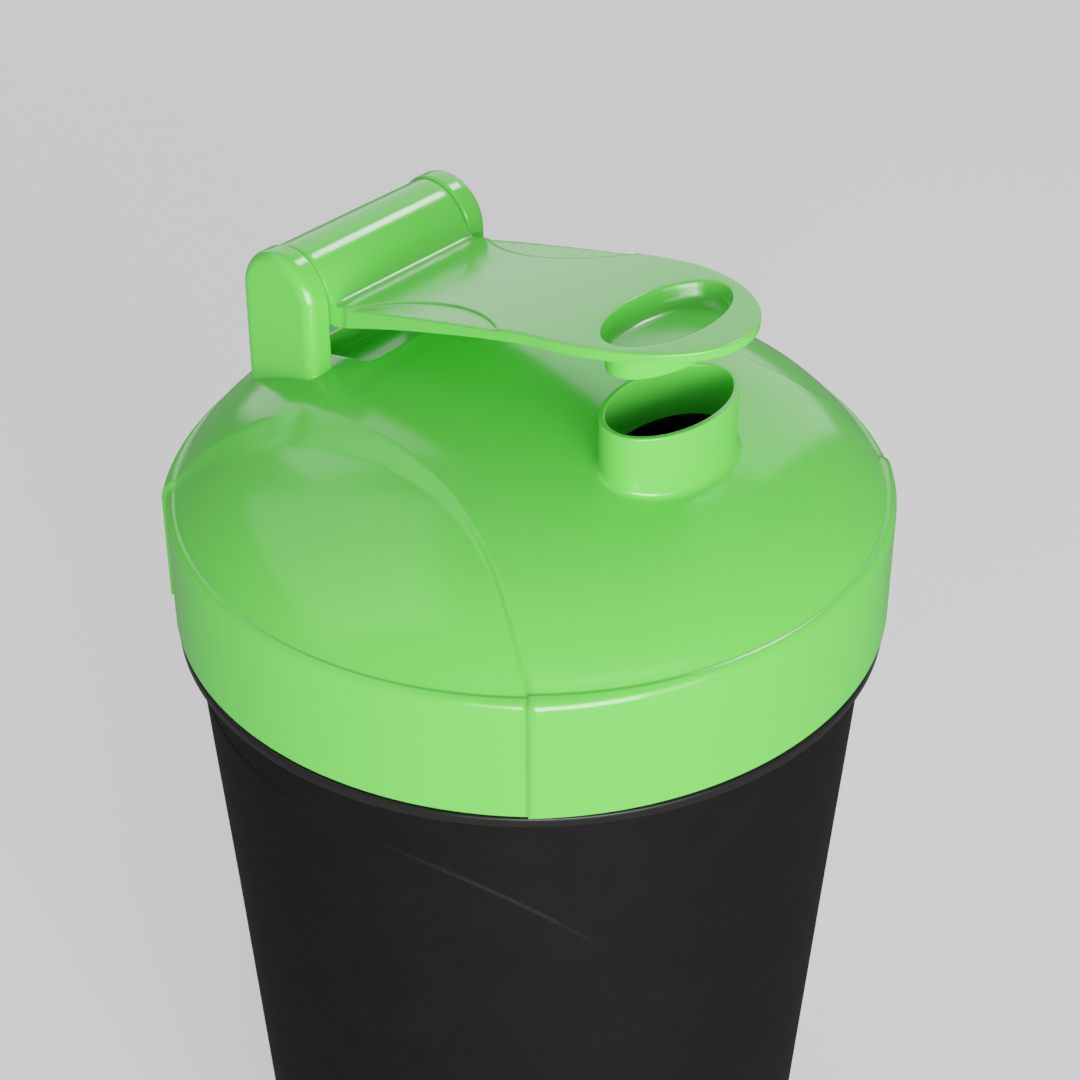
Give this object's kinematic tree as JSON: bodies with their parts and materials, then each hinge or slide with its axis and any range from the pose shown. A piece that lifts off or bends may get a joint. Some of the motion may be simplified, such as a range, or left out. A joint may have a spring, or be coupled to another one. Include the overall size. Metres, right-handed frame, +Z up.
{
  "type": "protein shaker bottle",
  "caption": "Tapered shaker cup with a domed screw lid, oval drinking spout, hinged flip cap that plugs the spout, and a clip-in strainer grid.",
  "frame": {"origin": "centre of the cup's base, on the surface it stands on", "axes": "+Z up along the bottle, -Y towards the spout at the front, X along the flip cap's hinge"},
  "size_m": [0.1, 0.1002, 0.2245],
  "materials": {
    "black_plastic": "fine matte texture, glossy flange",
    "green_plastic": "smooth gloss",
    "silicone": "soft satin",
    "strainer_plastic": "satin"
  },
  "bodies": {
    "cup": {"cup": "black_plastic"},
    "gasket_ring": {"lid_gasket": "silicone"},
    "lid": {"lid": "green_plastic", "strainer": "strainer_plastic"},
    "flip_cap": {"flip_cap": "green_plastic"}
  },
  "joints": [
    {"name": "lid_rise", "type": "slide", "parent": "cup", "child": "gasket_ring", "axis": [0, 0, 1], "range_m": [0, 0.0076]},
    {"name": "lid_turn", "type": "hinge", "parent": "gasket_ring", "child": "lid", "pos_m": [0, 0, 0.168], "axis": [0, 0, 1], "range_deg": [0, 450]},
    {"name": "flip_cap_hinge", "type": "hinge", "parent": "lid", "child": "flip_cap", "pos_m": [0, 0.031, 0.2121], "axis": [-1, 0, 0], "range_deg": [-10.5, 212]}
  ],
  "couplings": [
    {"joint": "lid_rise", "follows": "lid_turn", "m_per_rad": 0.00095493}
  ]
}
